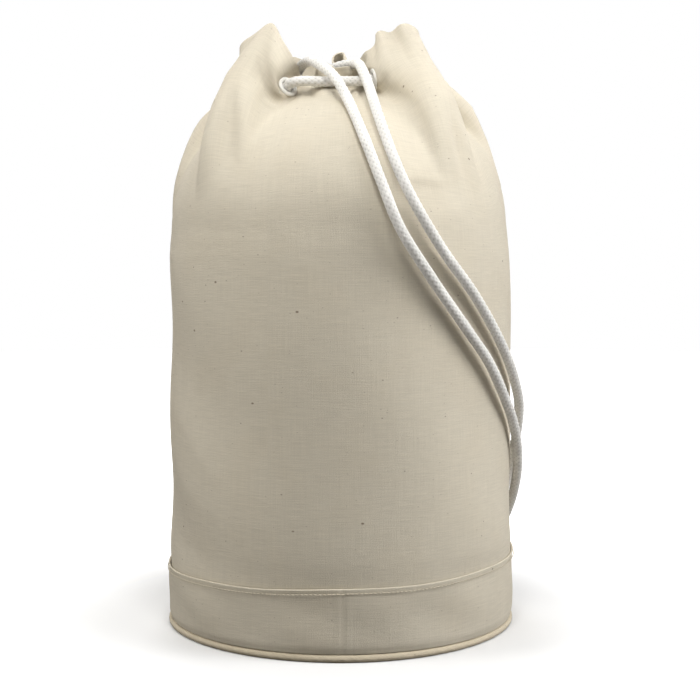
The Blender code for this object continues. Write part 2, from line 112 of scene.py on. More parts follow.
# ---- camera ----
def make_camera():
    """A long lens a little above the bag's middle, tilted down a little."""
    data = bpy.data.cameras.new("camera")
    data.sensor_width = 36.0
    data.lens = data.sensor_width * 1500.0 / 700.0
    obj = bpy.data.objects.new("camera", data)
    obj.location = (0.0068, -1.1, 0.284)
    obj.rotation_euler = (math.radians(90 - 4.46), 0, 0)
    bpy.context.scene.collection.objects.link(obj)
    bpy.context.scene.camera = obj


# ---- shared mesh helpers ----
def link(name, mesh, mat):
    obj = bpy.data.objects.new(name, mesh)
    bpy.context.scene.collection.objects.link(obj)
    mesh.materials.append(mat)
    return obj


def polar(radius, turn, z):
    """Points at the given radius, angle about Z and height, for arrays that fit together."""
    radius, turn, z = np.broadcast_arrays(radius, turn, z)
    return np.stack([radius * np.cos(turn), radius * np.sin(turn), z], -1)


def spoke(turn):
    """The direction that looks straight out from the bag's axis at an angle."""
    return Vector((math.cos(turn), math.sin(turn), 0.0))


def grid_faces(rows, cols, wrap_rows=False, wrap_cols=True):
    """Quads of a grid whose point (j, i) has index j * cols + i."""
    j = np.arange(rows if wrap_rows else rows - 1)[:, None]
    i = np.arange(cols if wrap_cols else cols - 1)[None, :]
    jn, inn = (j + 1) % rows, (i + 1) % cols
    quads = np.stack([j * cols + i, j * cols + inn, jn * cols + inn, jn * cols + i], -1)
    return quads.reshape(-1, 4)


def smooth_mesh(name, points, faces):
    """A smooth-shaded mesh from lists or arrays."""
    mesh = bpy.data.meshes.new(name)
    mesh.from_pydata([tuple(p) for p in points], [], [tuple(int(v) for v in f) for f in faces])
    mesh.validate()
    mesh.shade_smooth()
    return mesh


def add_tube(points, faces, middles, radii, across, out, sides):
    """Add a thin closed tube along a row of middles, with its own radius at each."""
    first, last = len(points), len(points) + (len(middles) - 1) * sides
    for middle, radius in zip(middles, radii):
        for i in range(sides):
            t = 2 * math.pi * i / sides
            points.append(middle + across * (radius * math.cos(t)) + out * (radius * math.sin(t)))
    for p in range(first, last, sides):
        for i in range(sides):
            k = (i + 1) % sides
            faces.append((p + i, p + k, p + sides + k, p + sides + i))
    faces.append([first + i for i in range(sides)][::-1])
    faces.append([last + i for i in range(sides)])


# ---- the canvas tube's starting shape ----
def hermite(p0, p1, m0, m1, t):
    """Cubic curve from p0 to p1 with the given slopes at its ends."""
    a = 2 * t ** 3 - 3 * t ** 2 + 1
    b = t ** 3 - 2 * t ** 2 + t
    c = -2 * t ** 3 + 3 * t ** 2
    d = t ** 3 - t ** 2
    return p0 * a + m0 * b + p1 * c + m1 * d


KEY_COUNT = 2 * EYELET_COUNT
KEY_SPAN = 2 * math.pi * BODY_R / KEY_COUNT


def key_angle(i):
    """Key line i runs up the cloth at this angle: even lines pass through the eyelets."""
    return math.radians(-90 - 180 / EYELET_COUNT + i * 180 / EYELET_COUNT)


def eyelet_frame(k):
    """Centre, sideways, up and outward directions of eyelet k's flat patch."""
    turn = math.radians(EYELETS[k][1])
    side = Vector((-math.sin(turn), math.cos(turn), 0.0))
    rise = Vector(EYELETS[k][2]) - Vector(EYELETS[k][0])
    up = (rise - side * rise.dot(side)).normalized()
    return Vector(EYELETS[k][0]) * MM, side, up, side.cross(up).normalized()


def mouth_keys():
    """Key points of the gathered mouth at four cloth heights, and their slopes round the bag."""
    shoulder, slope, level, rim = [], [], [], []
    for i in range(KEY_COUNT):
        out = spoke(key_angle(i))
        base = out * WAIST_R + Vector((0, 0, SHOULDER_Z))
        shoulder.append(base)
        if i % 2 == 0:
            centre, _, top = EYELETS[i // 2]
            slope.append(base.lerp(Vector(centre) * MM, 0.53)
                         + (out + Vector((0, 0, 0.8))) * SLOPE_OUT)
        else:
            mid, centre, top = BETWEEN[i // 2]
            slope.append(Vector(mid) * MM)
        level.append(Vector(centre) * MM)
        rim.append(Vector(top) * MM)
    tangents = []
    for row, points in enumerate((shoulder, slope, level, rim)):
        line = []
        for i in range(KEY_COUNT):
            turn = key_angle(i)
            around = Vector((-math.sin(turn), math.cos(turn), 0.0)) * KEY_SPAN
            chord = (points[(i + 1) % KEY_COUNT] - points[i - 1]) * 0.5
            if row == 0:
                line.append(around)
            elif row == 1:
                line.append(around.lerp(chord, 0.5))
            elif i % 2 == 0:
                line.append(eyelet_frame(i // 2)[1] * KEY_SPAN * 0.75)
            else:
                line.append(chord.normalized() * KEY_SPAN * 0.75)
        tangents.append(line)
    return (shoulder, slope, level, rim), tangents


KEYS, KEY_TANGENTS = mouth_keys()
KEY_HEIGHTS = (STRAIGHT_TO, SHOULDER_Z, 0.365, CLOTH_HEIGHT - EYELET_DROP, CLOTH_HEIGHT)


def wall_radius(height):
    """Radius of the filled wall, a little wider at the foot."""
    t = min(1.0, max(0.0, (height - BAND_TOP) / (WAIST_Z - BAND_TOP)))
    return BODY_R + (WAIST_R - BODY_R) * t * t * (3 - 2 * t)


DENT_DEPTH, DENT_LIFT = 0.0026, 0.0018
rng = np.random.default_rng(11)
DENT_WAVES = [(int(rng.integers(2, 9)), rng.uniform(14, 62), rng.uniform(0, 2 * math.pi),
               rng.uniform(0.5, 1.0)) for _ in range(14)]


def dent(turn, z):
    """Soft hollows where the laundry inside presses unevenly (metres, inwards)."""
    turn, z = np.asarray(turn, float), np.asarray(z, float)
    total = sum(size * np.sin(around * turn + rise * z + phase)
                for around, rise, phase, size in DENT_WAVES)
    deep = DENT_DEPTH * np.clip(0.45 + 0.16 * total, 0, 1.6)
    return (deep - DENT_LIFT) * np.clip((z - BAND_TOP + 0.004) / 0.02, 0, 1)


def start_column(u, heights):
    """The starting line up the cloth at u, counted in key lines round the bag."""
    turn = key_angle(0) + 2 * math.pi * u / KEY_COUNT
    i = int(math.floor(u)) % KEY_COUNT
    j, t = (i + 1) % KEY_COUNT, u - math.floor(u)
    points = [Vector((WAIST_R * math.cos(turn), WAIST_R * math.sin(turn), STRAIGHT_TO))]
    for pts, tan in zip(KEYS, KEY_TANGENTS):
        points.append(hermite(pts[i], pts[j], tan[i], tan[j], t))
    marks = KEY_HEIGHTS
    runs = [(b - a) / (v - w) for a, b, w, v in zip(points, points[1:], marks, marks[1:])]
    slopes = [Vector((0, 0, 1.0)), runs[0].lerp(runs[1], 0.25)]
    slopes += [runs[1].lerp(runs[2], 0.5), runs[2].lerp(runs[3], 0.5), runs[3]]
    out = []
    for h in heights:
        if h <= STRAIGHT_TO:
            radius = wall_radius(h) - float(dent(turn, h))
            out.append(Vector((radius * math.cos(turn), radius * math.sin(turn), h)))
            continue
        k = next(k for k in range(4) if h <= marks[k + 1] + 1e-9)
        span = marks[k + 1] - marks[k]
        out.append(hermite(points[k], points[k + 1], slopes[k] * span, slopes[k + 1] * span,
                           (h - marks[k]) / span))
    return out


# ---- cloth relaxation ----
SIM_BOTTOM, SIM_ROWS, SIM_COLS = 0.254, 50, 192
SIM_STEPS, SIM_ITERATIONS, SIM_DAMPING, SIM_GRAVITY = 160, 4, 0.90, 0.00003
PINNED_ROWS = 3  # the lowest rows stay on the wall
PATCH_R = 0.0088  # the cloth is held flat this far round an eyelet's middle
ROPE_CLEAR = CORD_R + 0.0011
SHEET_CLEAR = 0.0040  # folds stay this far apart, apart from the bend itself
BEND_REACH = 0.016
MOUTH_FROM = 0.350  # folds can meet each other and the rope above this
PUSH_AROUND = 0.75  # how firmly weft threads resist being pushed together
FIRM_FROM, FIRM_OVER = 0.370, 0.025  # the filled part gives way up and down, the mouth doesn't
FOLD_SPRINGS = ((2, 0.25, 1.0), (4, 0.16, 0.985))  # reach, stiffness, share of the flat length
SOFTEN = ((1, (0.03, 0.08)), (3, (0.0, 0.06)))  # evening out: reach, around, up
# the laundry inside: a cylinder under a rounded dome
FILL_R, FILL_Z, FILL_H, FILL_ROUND = 0.1212, 0.285, 0.100, 2.15
# how far out the cloth may stand at each height, and a little less on the right
LOOSE_Z = (0.250, 0.285, 0.300, 0.320, 0.350, 0.380, 0.410, 0.440)
LOOSE_R = (0.1265, 0.1258, 0.1243, 0.1215, 0.1120, 0.0985, 0.0840, 0.0660)
LOOSE_RIGHT = 0.955
# how far the cloth reaches up each key line, as a share of its cut height
LINE_LENGTH = (range(16),
               (0.985, 0.985, 1.00, 1.015, 0.99, 0.97, 0.97, 0.975, 0.98, 0.99, 0.985, 0.99,
                0.96, 0.955, 0.975, 1.03))
# starched gathers that stay pressed together: key line, height, reach of both, share taken up
PRESSED = ((1.0, 0.405, 0.85, 0.060, 0.34), (2.6, 0.445, 0.45, 0.022, 0.25),
           (15.2, 0.330, 1.3, 0.05, 0.06), (3.1, 0.330, 1.3, 0.05, 0.06))
# places the cloth is shaped to: key line, drop from the rim (mm), where, how firmly
HOLDS = (
    (15.1, 0, (-49, -22, 434), 0.6),
    (0.0, 0, (-28, -20, 401), 0.4),
    (0.6, 0, (-17, -22, 400), 0.5),
    (1.0, 0, (-5, -24, 401), 0.7),
    (1.45, 0, (7, -24, 402), 0.6),
    (2.0, 0, (18, -21, 413), 0.6),
    (2.25, 0, (25, -21, 423), 0.7),
    (2.55, 0, (31, -21, 427), 0.8),
    (2.8, 0, (39, -22, 429), 0.7),
    (3.05, 0, (48, -22, 432), 0.8),
    (3.4, 0, (56, -14, 424), 0.4),
    (9.0, 0, (2, 36, 414), 0.5),
    (9.5, 0, (-5, 42, 410), 0.4),
    (10.0, 0, (-14, 46, 411), 0.6),
    (10.5, 0, (-34, 52, 417), 0.4),
    (11.4, 0, (-80, 43, 431), 0.8),
    (12.0, 0, (-52, 34, 410), 0.5),
    (13.0, 0, (-44, 12, 399), 0.5),
    (14.0, 0, (-57, -2, 411), 0.5),
    (7.0, 0, (52, 48, 422), 0.3),
    (14.9, 40, (-80, -34, 399), 0.15),
    (3.2, 40, (70, -38, 397), 0.2),
)
HOLD_REACH, HOLD_FADE = 0.016, 0.007


def stride_pairs(rows, cols, dj, di):
    """Index pairs (j, i)-(j+dj, i+di), split into two groups that share no point."""
    j, i = np.meshgrid(np.arange(rows - dj), np.arange(cols), indexing="ij")
    a, b = j * cols + i, (j + dj) * cols + (i + di) % cols
    odd = (j // dj if dj else i // di) % 2 == 1
    return (a[~odd], b[~odd]), (a[odd], b[odd])


def beside(u, at):
    """How far u lies from key line at, the short way round, in key lines."""
    return (u - at + KEY_COUNT / 2) % KEY_COUNT - KEY_COUNT / 2


def pin_patches(x, free, u, level):
    """Set the cloth round each eyelet flat in its place and hold it there."""
    for k in range(EYELET_COUNT):
        centre, side, up, _ = eyelet_frame(k)
        du, dv = beside(u, 2 * k) * KEY_SPAN, level - (CLOTH_HEIGHT - EYELET_DROP)
        near = np.hypot(du, dv) < PATCH_R
        x[near] = (np.array(centre) + du[near][:, None] * np.array(side)
                   + dv[near][:, None] * np.array(up))
        free[near] = 0.0


def make_springs(free, u, level, heights, firm):
    """Groups of springs: ends, lengths, stiffness, how far they resist being pushed together
    (None where they only push apart), and each end's share of a move."""
    rows, cols = len(heights), SIM_COLS
    even = 2 * math.pi * BODY_R / cols
    loose = np.clip((heights - SHOULDER_Z + 0.01) / 0.05, 0, 1)
    around = 2 * math.pi * (WAIST_R + 0.0004) / cols * (1 - loose) + even * loose
    around = np.repeat(around, cols)
    for at, height, wide, tall, share in PRESSED:
        far = beside(u, at) / wide
        around *= 1 - share * np.exp(-far ** 2 - ((level - height) / tall) ** 2)
    rise = heights[1] - heights[0]
    rise = np.tile(rise * np.interp(u[:cols], *LINE_LENGTH, period=KEY_COUNT), rows)
    slant = np.hypot(around, rise)
    kinds = [(0, 1, around, 1.0, np.full(len(u), PUSH_AROUND)),
             (1, 0, rise, 1.0, np.maximum(firm, 0.001)),
             (1, 1, slant, 0.12, 0.3 + 0.7 * firm),
             (1, -1, slant, 0.12, 0.3 + 0.7 * firm),
             (2, 0, rise * 2, 0.25, firm)]
    kinds += [(0, reach, around * reach * short, stiff, None)
              for reach, stiff, short in FOLD_SPRINGS]
    groups = []
    for dj, di, rest, stiff, give in kinds:
        for a, b in stride_pairs(rows, cols, dj, di):
            total = free[a] + free[b]
            moves = total > 0
            a, b, total = a[moves], b[moves], total[moves]
            groups.append((a, b, rest[a], stiff, None if give is None else give[a],
                           (free[a] / total)[:, None], (free[b] / total)[:, None]))
    return groups


def hold_spots(free, u, level):
    """The points that each listed hold pulls, nearest first, with how strongly."""
    spots = []
    for at, drop, target, pull in HOLDS:
        far = np.hypot(beside(u, at) * KEY_SPAN, level - (CLOTH_HEIGHT - drop * MM))
        spot = np.nonzero(far < HOLD_REACH)[0]
        soft = np.exp(-(far[spot] / HOLD_FADE) ** 2)
        order = np.argsort(-soft)
        spot, soft = spot[order], soft[order]
        moves = free[spot] > 0
        spots.append((spot[moves], soft[moves][:, None], np.array(target) * MM, pull))
    return spots


def relax_cloth(points, heights, rope_points):
    """Let the gathered tube settle to its flat size: position-based cloth on a grid."""
    rows, cols = len(heights), SIM_COLS
    x = points.reshape(-1, 3).copy()
    u = np.tile(np.arange(cols) * KEY_COUNT / cols, rows)
    level = np.repeat(heights, cols)
    free = np.ones(rows * cols)
    free[:PINNED_ROWS * cols] = 0.0
    pin_patches(x, free, u, level)
    firm = np.repeat(np.clip((heights - FIRM_FROM) / FIRM_OVER, 0, 1), cols)
    springs = make_springs(free, u, level, heights, firm)
    calm = (1 - 0.7 * firm).reshape(rows, cols, 1)
    holds = hold_spots(free, u, level)
    rope_tree = kdtree.KDTree(len(rope_points))
    for n, p in enumerate(rope_points):
        rope_tree.insert(p, n)
    rope_tree.balance()
    mouth = np.nonzero((level > MOUTH_FROM) & (free > 0))[0]
    along = np.tile(np.arange(cols), rows) * (2 * math.pi * BODY_R / cols)
    old = x.copy()
    for step in range(SIM_STEPS):
        velocity = (x - old) * SIM_DAMPING
        old = x.copy()
        x += velocity * free[:, None]
        x[:, 2] -= SIM_GRAVITY * free
        for _ in range(SIM_ITERATIONS):
            pull_springs(x, springs)
        for spot, soft, target, pull in holds:
            x[spot] += (target - x[spot[0]]) * soft * pull
        even_out(x, x.reshape(rows, cols, 3), free, calm)
        press_on_fill(x, free)
        if step % 2 == 1:
            keep_off_rope(x, mouth, rope_tree, rope_points)
        if step % 4 == 3 and step > 20:
            keep_sheets_apart(x, mouth, along, level)
    return x.reshape(rows, cols, 3)


def pull_springs(x, springs):
    """Move each spring's two ends towards its length, group after group."""
    for a, b, rest, stiff, give, share_a, share_b in springs:
        d = x[b] - x[a]
        length = np.sqrt((d * d).sum(1))
        miss = (length - rest) / np.maximum(length, 1e-9) * stiff
        miss = np.minimum(miss, 0.0) if give is None else np.where(miss < 0, miss * give, miss)
        d *= miss[:, None]
        x[a] += d * share_a
        x[b] -= d * share_b


def even_out(x, grid, free, calm):
    """Smooth the cloth a little, each reach after the one before."""
    for reach, (around, up) in SOFTEN:
        mean = 0.5 * (np.roll(grid, reach, 1) + np.roll(grid, -reach, 1)) - grid
        push = mean * around
        push[reach:-reach] += (0.5 * (grid[2 * reach:] + grid[:-2 * reach])
                               - grid[reach:-reach]) * (up * calm[reach:-reach])
        x += push.reshape(-1, 3) * free[:, None]


def press_on_fill(x, free):
    """Keep the cloth outside the laundry and inside the bag's loose outline."""
    r = np.maximum(np.hypot(x[:, 0], x[:, 1]), 1e-6)
    up = np.maximum(x[:, 2] - FILL_Z, 0.0) / FILL_H
    size = ((r / FILL_R) ** FILL_ROUND + up ** FILL_ROUND) ** (1.0 / FILL_ROUND)
    size += dent(np.arctan2(x[:, 1], x[:, 0]), x[:, 2]) / FILL_R
    inside = (size < 1.0) & (free > 0)
    grow = np.where(inside, 1.0 / np.maximum(size, 0.2), 1.0)
    x[:, 0] *= grow
    x[:, 1] *= grow
    lift = inside & (x[:, 2] > FILL_Z)
    x[lift, 2] = FILL_Z + (x[lift, 2] - FILL_Z) * grow[lift]
    r = np.maximum(np.hypot(x[:, 0], x[:, 1]), 1e-6)
    most = np.interp(x[:, 2], LOOSE_Z, LOOSE_R)
    lean = np.clip((x[:, 2] - LOOSE_Z[1]) / 0.03, 0, 1) * np.clip(x[:, 0] / 0.05, 0, 1)
    most = most * (1 + (LOOSE_RIGHT - 1) * lean)
    wide = np.where((r > most) & (free > 0), most / r, 1.0)
    x[:, 0] *= wide
    x[:, 1] *= wide


def keep_off_rope(x, mouth, tree, rope_points):
    """Move the mouth's cloth off the rope."""
    for n in mouth:
        _, index, dist = tree.find(x[n])
        if 1e-6 < dist < ROPE_CLEAR:
            q = rope_points[index]
            x[n] = q + (x[n] - q) * (ROPE_CLEAR / dist)


def keep_sheets_apart(x, mouth, along, level):
    """Push folds that come too near each other apart, by a limited step."""
    ring = 2 * math.pi * BODY_R
    tree = kdtree.KDTree(len(mouth))
    for m, n in enumerate(mouth):
        tree.insert(x[n], m)
    tree.balance()
    moves = {}
    for m, n in enumerate(mouth):
        for co, k, dist in tree.find_range(x[n], SHEET_CLEAR):
            if k <= m:
                continue
            o = mouth[k]
            du = abs(along[n] - along[o])
            du = min(du, ring - du)
            if du + abs(level[n] - level[o]) < BEND_REACH or dist < 1e-7:
                continue
            push = (x[n] - np.array(co)) * (0.5 * (SHEET_CLEAR - dist) / dist)
            moves[n] = moves.get(n, 0) + push
            moves[o] = moves.get(o, 0) - push
    for n, push in moves.items():
        size = math.sqrt(float((push * push).sum()))
        x[n] += push * min(1.0, 0.002 / max(size, 1e-9))


# ---- the rope's route ----
def smooth_route(points, step):
    """Centripetal Catmull-Rom curve through points given in millimetres."""
    pts = [Vector(p) * MM for p in points]
    pts = [pts[0] * 2 - pts[1]] + pts + [pts[-1] * 2 - pts[-2]]
    out = []
    for p0, p1, p2, p3 in zip(pts, pts[1:], pts[2:], pts[3:]):
        t0 = 0.0
        t1 = t0 + (p1 - p0).length ** 0.5
        t2 = t1 + (p2 - p1).length ** 0.5
        t3 = t2 + (p3 - p2).length ** 0.5
        parts = max(1, math.ceil((p2 - p1).length / step))
        for i in range(parts):
            t = t1 + (t2 - t1) * i / parts
            a1 = p0.lerp(p1, (t - t0) / (t1 - t0))
            a2 = p1.lerp(p2, (t - t1) / (t2 - t1))
            a3 = p2.lerp(p3, (t - t2) / (t3 - t2))
            b1 = a1.lerp(a2, (t - t0) / (t2 - t0))
            b2 = a2.lerp(a3, (t - t1) / (t3 - t1))
            out.append(b1.lerp(b2, (t - t1) / (t2 - t1)))
    out.append(pts[-2])
    return np.array([list(p) for p in out])


def lacing_route():
    """Through the eyelets, from behind eyelet 7 to behind eyelet 6, out and in by turns."""
    route = []
    for step, k in enumerate((6, 7, 0, 1, 2, 3, 4, 5)):
        centre, _, _, out = eyelet_frame(k)
        centre, stub = centre / MM, out * EYELET_STUB
        outwards = step % 2 == 0
        ends = (centre - stub, centre + stub) if outwards else (centre + stub, centre - stub)
        route.extend(tuple(p) for p in ends)
        if outwards:
            route.append(BETWEEN_RUNS[k + 1])
    return route


def even_steps(path, step):
    """The same path with points an equal distance apart."""
    gaps = np.linalg.norm(np.diff(path, axis=0), axis=1)
    along = np.concatenate([[0], np.cumsum(gaps)])
    count = int(round(along[-1] / step)) + 1
    marks = np.linspace(0, along[-1], count)
    return np.stack([np.interp(marks, along, path[:, c]) for c in range(3)], 1), along[-1]


def path_frames(path):
    """Unit tangent and two steady cross directions at every point of a path."""
    tangent = np.gradient(path, axis=0)
    tangent /= np.linalg.norm(tangent, axis=1)[:, None]
    side = np.zeros_like(path)
    first = np.cross(tangent[0], (0.0, 0.0, 1.0))
    if np.linalg.norm(first) < 0.1:
        first = np.cross(tangent[0], (1.0, 0.0, 0.0))
    side[0] = first / np.linalg.norm(first)
    for i in range(1, len(path)):
        v = side[i - 1] - tangent[i] * (side[i - 1] @ tangent[i])
        side[i] = v / np.linalg.norm(v)
    return tangent, side, np.cross(tangent, side)


BRAID_STRANDS, BRAID_LAY = 6, 0.0255  # strands each way, and how far one goes in a full turn
BRAID_AROUND, BRAID_STEP = 40, 0.00055


def crown(f):
    """Rounded height across one strand, f running 0 to 1."""
    return np.sqrt(np.clip(1 - (2 * (f % 1) - 1) ** 2, 0, 1))


def braid_relief(turn, along):
    """Height of a one-over-one braid's surface, 0 in the gaps and 1 on the strands' crowns."""
    p = BRAID_STRANDS * (turn / (2 * math.pi) + along / BRAID_LAY)
    q = BRAID_STRANDS * (turn / (2 * math.pi) - along / BRAID_LAY)
    over = np.where(np.floor(p) % 2 == 0, 1, -1) * np.sin(math.pi * q)
    under = -np.where(np.floor(q) % 2 == 0, 1, -1) * np.sin(math.pi * p)
    return np.maximum(crown(p) * (0.62 + 0.38 * over), crown(q) * (0.62 + 0.38 * under))


def braided_tube(name, path, radius, mat, twist=0.0, loose=0.0):
    """A braided cord along an even path, its strands modelled, ends closed."""
    tangent, side, up = path_frames(path)
    count = len(path)
    step = float(np.linalg.norm(path[1] - path[0]))
    turn = np.linspace(0, 2 * math.pi, BRAID_AROUND, endpoint=False)[None, :]
    along = (np.arange(count) * step)[:, None]
    wander = twist * np.sin(along / 0.061) + 0.5 * twist * np.sin(along / 0.023 + 1)
    relief = braid_relief(turn + wander, along)
    swell = 1 + loose * np.sin(along / 0.017 + 0.7) * np.sin(along / 0.0053)
    r = radius * swell * (0.86 + 0.19 * relief)
    points = (path[:, None, :] + side[:, None, :] * (np.cos(turn) * r)[:, :, None]
              + up[:, None, :] * (np.sin(turn) * r)[:, :, None]).reshape(-1, 3)
    faces = grid_faces(count, BRAID_AROUND).tolist()
    last = (count - 1) * BRAID_AROUND
    points = np.vstack([points, path[0], path[-1]])
    for i in range(BRAID_AROUND):
        k = (i + 1) % BRAID_AROUND
        faces.append((count * BRAID_AROUND, k, i))
        faces.append((count * BRAID_AROUND + 1, last + i, last + k))
    mesh = smooth_mesh(name, points, faces)
    # how deep each point lies in the braid's gaps; the rope's material greys these as painted
    # shade
    gap = mesh.attributes.new("gap", "FLOAT", "POINT")
    values = np.concatenate([1 - relief.ravel(), [0.5, 0.5]]).astype(np.float32)
    gap.data.foreach_set("value", values)
    return link(name, mesh, mat)


# ---- materials ----
def new_material(name):
    """A new material with its node helper and its shader."""
    mat = bpy.data.materials.new(name)
    mat.use_nodes = True
    mat.node_tree.nodes.clear()
    w = Wires(mat.node_tree)
    shader = w.nodes.new("ShaderNodeBsdfPrincipled")
    put(shader.outputs["BSDF"], w.nodes.new("ShaderNodeOutputMaterial").inputs["Surface"])
    return mat, w, shader


def put(value, socket):
    """Give an input a value, or link another node's output to it."""
    if isinstance(value, bpy.types.NodeSocket):
        socket.id_data.links.new(value, socket)
    else:
        socket.default_value = value


def set_inputs(node, **values):
    """Give values or links to inputs by name, with _ for a space."""
    for key, value in values.items():
        put(value, node.inputs[key.replace("_", " ")])


class Wires:
    """Short ways to add nodes to one node tree."""

    def __init__(self, tree):
        self.nodes = tree.nodes

    def source(self, kind, output):
        return self.nodes.new("ShaderNode" + kind).outputs[output]

    def split(self, value, kind="XYZ"):
        node = self.nodes.new("ShaderNodeSeparate" + kind)
        put(value, node.inputs[0])
        return node.outputs

    def math(self, kind, a, b=None, c=None, clamp=False):
        node = self.nodes.new("ShaderNodeMath")
        node.operation, node.use_clamp = kind, clamp
        for value, socket in zip((a, b, c), node.inputs):
            if value is not None:
                put(value, socket)
        return node.outputs[0]

    def weigh(self, *parts):
        """The sum of values, each times its weight."""
        total = None
        for value, weight in parts:
            part = self.math("MULTIPLY", value, weight)
            total = part if total is None else self.math("ADD", total, part)
        return total

    def stretch(self, vector, scale, turn=0.0):
        node = self.nodes.new("ShaderNodeMapping")
        set_inputs(node, Vector=vector, Rotation=(0, 0, turn), Scale=scale)
        return node.outputs[0]

    def noise(self, vector, scale=1.0, detail=2.0, rough=0.5):
        node = self.nodes.new("ShaderNodeTexNoise")
        set_inputs(node, Vector=vector, Scale=scale, Detail=detail, Roughness=rough)
        return node.outputs["Fac"]

    def cells(self, vector, scale):
        node = self.nodes.new("ShaderNodeTexVoronoi")
        set_inputs(node, Vector=vector, Scale=scale)
        return node.outputs["Distance"], node.outputs["Color"]

    def between(self, value, low, high, to_low=0.0, to_high=1.0):
        node = self.nodes.new("ShaderNodeMapRange")
        node.interpolation_type = "SMOOTHSTEP"
        set_inputs(node, Value=value, From_Min=low, From_Max=high, To_Min=to_low, To_Max=to_high)
        return node.outputs["Result"]

    def mix(self, factor, a, b, kind="MIX"):
        node = self.nodes.new("ShaderNodeMix")
        node.data_type, node.blend_type = "RGBA", kind
        put(factor, node.inputs[0])  # the sockets by number, as their names repeat
        put(a, node.inputs[6])
        put(b, node.inputs[7])
        return node.outputs[2]

    def bump(self, height, distance, strength=1.0, normal=None):
        node = self.nodes.new("ShaderNodeBump")
        set_inputs(node, Strength=strength, Distance=distance, Height=height)
        if normal is not None:
            put(normal, node.inputs["Normal"])
        return node.outputs["Normal"]


CREAM = (0.662, 0.608, 0.500, 1.0)
BIAS_CREAM = (0.66, 0.58, 0.44, 1)
WARM_PATCH, SEED_BROWN = (0.56, 0.46, 0.31, 1.0), (0.16, 0.105, 0.062, 1.0)
# seed husks left in the cotton: apart, share left out, size within its cell, strength
SEED_FLECKS = ((0.0150, 0.62, 0.050, 0.80), (0.0072, 0.62, 0.065, 0.55),
               (0.0034, 0.72, 0.11, 0.30))
THREAD_PITCH = 0.00062


def canvas_material(name, turn=0.0, colour=CREAM):
    """Unbleached plain-weave canvas: threads, slubs, seed flecks, uneven tone."""
    mat, w, shader = new_material(name)
    uv = w.nodes.new("ShaderNodeUVMap")
    uv.uv_map = "cloth"
    cloth = w.stretch(uv.outputs["UV"], (1, 1, 1), turn)
    xyz = w.split(cloth)
    wobble = w.noise(cloth, 160.0, 2.0)
    threads = 2 * math.pi / THREAD_PITCH
    warp = w.math("SINE", w.weigh((xyz["X"], threads), (wobble, 5.0)))
    weft = w.math("SINE", w.weigh((xyz["Y"], threads), (wobble, 7.0)))
    weave = w.math("MULTIPLY", w.math("ADD", w.math("MULTIPLY", warp, weft), 1.0), 0.5)
    slub_weft = w.noise(w.stretch(cloth, (70, 1700, 1)), 1.0, 3.0, 0.55)
    slub_warp = w.noise(w.stretch(cloth, (1300, 30, 1)), 1.0, 2.0, 0.5)
    streak = w.noise(w.stretch(cloth, (34, 800, 1)), 1.0, 3.0, 0.6)
    broad = w.noise(cloth, 11.0, 3.0, 0.5)
    tone = w.weigh((slub_weft, 0.40), (slub_warp, 0.20), (streak, 0.22), (broad, 0.18),
                   (weave, 0.12))
    shade = w.between(tone, 0.36, 0.76, 0.885, 1.075)
    base = w.mix(1.0, colour, shade, "MULTIPLY")
    warm = w.between(w.noise(cloth, 23.0, 2.0), 0.42, 0.70, 0.0, 0.07)
    base = w.mix(warm, base, WARM_PATCH)
    for size, share, radius, strength in SEED_FLECKS:
        far, random = w.cells(w.stretch(cloth, (0.62, 1.0, 1.0)), 1.0 / size)
        spot = w.math("MULTIPLY", w.between(far, radius * 0.6, radius * 1.25, 1.0, 0.0),
                      w.math("GREATER_THAN", w.split(random, "Color")["Red"], share))
        base = w.mix(w.math("MULTIPLY", spot, strength), base, SEED_BROWN)
    height = w.weigh((weave, 0.55), (slub_weft, 0.9), (slub_warp, 0.5))
    fine = w.bump(height, 0.00022, 0.75)
    rumple = w.noise(cloth, 75.0, 3.0, 0.55)
    set_inputs(shader, Base_Color=base, Normal=w.bump(rumple, 0.0007, 0.35, fine), Roughness=0.93,
               Specular_IOR_Level=0.2, Sheen_Weight=0.12, Sheen_Roughness=0.6)
    return mat


def rope_material(name):
    """White cotton, with painted shade that greys the gaps of the braid."""
    mat, w, shader = new_material(name)
    gap = w.nodes.new("ShaderNodeAttribute")
    gap.attribute_name = "gap"
    where = w.source("TexCoord", "Object")
    fuzz = w.noise(where, 1400.0, 3.0, 0.6)
    patch = w.noise(where, 60.0, 2.0)
    # painted shade: the deeper a point lies in the braid's gaps, the greyer the rope, as if
    # shadowed there
    deep = w.between(gap.outputs["Fac"], 0.25, 0.85)
    colour = w.mix(deep, (0.86, 0.85, 0.825, 1), (0.56, 0.55, 0.53, 1))
    grey = w.between(patch, 0.35, 0.7, 0.93, 1.04)
    colour = w.mix(1.0, colour, grey, "MULTIPLY")
    set_inputs(shader, Base_Color=colour, Normal=w.bump(fuzz, 0.0004, 0.7), Roughness=0.9,
               Specular_IOR_Level=0.25, Sheen_Weight=0.2)
    return mat


def plain_material(name, colour, roughness, coat=0.0, grain=0.0):
    mat, w, shader = new_material(name)
    set_inputs(shader, Base_Color=(*colour, 1.0), Roughness=roughness, Coat_Weight=coat)
    if grain:
        height = w.noise(w.source("TexCoord", "Object"), 900.0, 3.0)
        set_inputs(shader, Normal=w.bump(height, grain))
    return mat


# ---- cloth meshes ----
def finer(points, times, wrap):
    """Catmull-Rom refinement of a grid along its first axis."""
    count = len(points)
    index = np.arange(count)
    pick = (lambda i: points[i % count]) if wrap else (lambda i: points[np.clip(i, 0, count - 1)])
    p0, p1, p2, p3 = pick(index - 1), pick(index), pick(index + 1), pick(index + 2)
    parts = []
    for k in range(times):
        t = k / times
        parts.append(0.5 * (2 * p1 + (p2 - p0) * t + (2 * p0 - 5 * p1 + 4 * p2 - p3) * t * t
                            + (3 * p1 - p0 - 3 * p2 + p3) * t ** 3))
    out = np.stack(parts, 1).reshape(count * times, *points.shape[1:])
    return out if wrap else out[:(count - 1) * times + 1]


